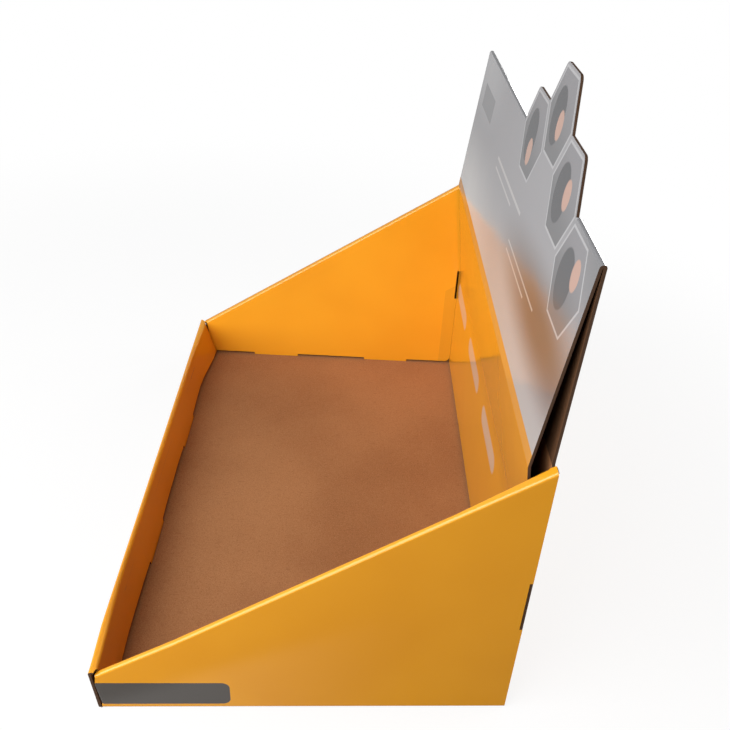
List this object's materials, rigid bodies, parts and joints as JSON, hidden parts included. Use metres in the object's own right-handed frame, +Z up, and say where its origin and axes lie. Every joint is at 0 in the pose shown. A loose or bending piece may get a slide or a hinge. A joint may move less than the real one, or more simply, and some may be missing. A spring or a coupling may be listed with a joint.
{
  "type": "product display box",
  "caption": "Open countertop display tray with sloping rolled side walls, a low front and a tall printed header with hexagon tabs, folded from corrugated board.",
  "frame": {"origin": "middle of the tray's underside, halfway between the outer side walls and halfway along the side walls' depth, on the surface that the box stands on", "axes": "+X to the shopper's right, +Y to the back where the header stands, +Z up"},
  "size_m": [0.4, 0.262, 0.3638],
  "materials": {
    "printed_board": "corrugated board with a glossy laminated print on its outside, bare brown on its inside and at its cut edges"
  },
  "bodies": {
    "root": {"folded_display_box": "printed_board"}
  },
  "joints": []
}
